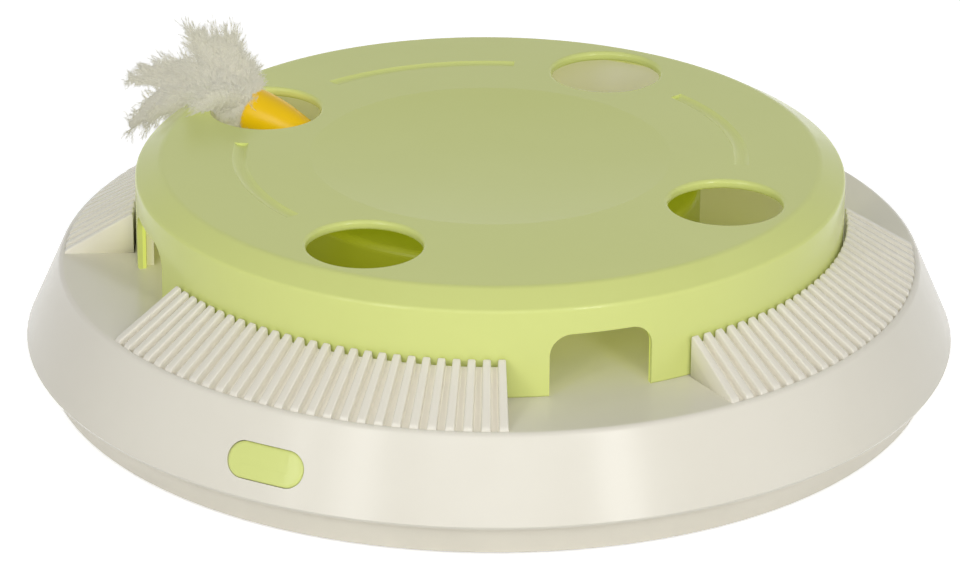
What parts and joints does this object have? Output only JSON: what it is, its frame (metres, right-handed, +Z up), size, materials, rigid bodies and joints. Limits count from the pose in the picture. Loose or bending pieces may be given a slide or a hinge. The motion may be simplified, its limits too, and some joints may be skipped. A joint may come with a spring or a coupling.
{
  "type": "rotating feather cat toy",
  "caption": "Low round cat toy: ribbed ramps round a pierced cover, under which a geared motor turns a rotor that pokes a feather up through openings in the top.",
  "frame": {"origin": "on the floor under the middle of the round base", "axes": "+Z up along the rotor axis, -Y towards the archway at the front, the power button at the front left"},
  "size_m": [0.2792, 0.2792, 0.0926],
  "materials": {
    "base_plastic": "glossy warm white moulded plastic",
    "tray_plastic": "satin warm white moulded plastic",
    "cover_plastic": "glossy yellow-green moulded plastic",
    "rotor_plastic": "satin yellow-green moulded plastic",
    "sleeve_rubber": "yellow soft rubber",
    "plume": "white down feather",
    "steel": "bright steel",
    "brass": "turned brass",
    "gear_plastic": "natural white acetal",
    "board": "green laminate",
    "black_plastic": "black moulded plastic",
    "cell_jacket": "plain printed jacket with no marks",
    "battery_wire": "red insulation",
    "motor_wire": "black insulation",
    "foot_rubber": "black soft rubber"
  },
  "bodies": {
    "base": {"bottom_tray": "tray_plastic", "base_shell": "base_plastic", "ramp_back_right": "base_plastic", "ramp_back_left": "base_plastic", "ramp_front_left": "base_plastic", "ramp_front_right": "base_plastic", "tact_switch": "steel", "control_board": "board", "controller_chip": "black_plastic", "board_capacitor": "cell_jacket", "board_screws": "steel", "battery_door": "tray_plastic", "door_screw": "steel", "battery_cells": "cell_jacket", "contact_springs": "steel", "contact_plates": "steel", "battery_leads": "battery_wire", "motor_leads": "motor_wire", "motor_can": "steel", "motor_cap": "black_plastic", "motor_screws": "steel", "gearbox_lower_plate": "gear_plastic", "gearbox_upper_plate": "gear_plastic", "gearbox_spacers": "gear_plastic", "gearbox_screws": "steel", "gearbox_mount_screws": "steel", "gear_pins": "steel", "deck_bush": "brass", "case_screws": "steel", "rubber_feet": "foot_rubber"},
    "cover": {"cover": "cover_plastic"},
    "button": {"power_button": "cover_plastic", "switch_plunger": "black_plastic"},
    "rotor": {"output_gear": "gear_plastic", "output_shaft": "steel", "rotor_drum": "rotor_plastic", "rotor_screw": "steel", "wand_core": "steel", "feather_sleeve": "sleeve_rubber", "feather_plume": "plume"},
    "second_gear": {"second_gear": "gear_plastic"},
    "first_gear": {"first_gear": "gear_plastic"},
    "motor_spindle": {"motor_rotor": "steel", "motor_pinion": "brass"}
  },
  "joints": [
    {"name": "rotor_spin", "type": "hinge", "parent": "base", "child": "rotor", "pos_m": [0, 0, 0.024], "axis": [0, 0, 1], "continuous": true, "deforming": ["feather_sleeve", "wand_core", "feather_plume"]},
    {"name": "second_gear_spin", "type": "hinge", "parent": "base", "child": "second_gear", "pos_m": [0.01871, -0.0108, 0.024], "axis": [0, 0, 1], "continuous": true},
    {"name": "first_gear_spin", "type": "hinge", "parent": "base", "child": "first_gear", "pos_m": [0.01871, -0.0288, 0.024], "axis": [0, 0, 1], "continuous": true},
    {"name": "motor_spin", "type": "hinge", "parent": "base", "child": "motor_spindle", "pos_m": [0.00312, -0.0378, 0.024], "axis": [0, 0, 1], "continuous": true},
    {"name": "button_press", "type": "slide", "parent": "base", "child": "button", "axis": [0.6469, 0.6469, -0.4037], "range_m": [0, 0.0008], "stiffness_N_per_m": 1200, "springref_m": -0.0002},
    {"name": "cover_lift", "type": "slide", "parent": "base", "child": "cover", "axis": [0, 0, 1], "range_m": [0, 0.06], "deforming": ["feather_plume"]}
  ],
  "couplings": [
    {"joint": "second_gear_spin", "follows": "rotor_spin", "ratio": -5},
    {"joint": "first_gear_spin", "follows": "rotor_spin", "ratio": 20},
    {"joint": "motor_spin", "follows": "rotor_spin", "ratio": -80}
  ]
}
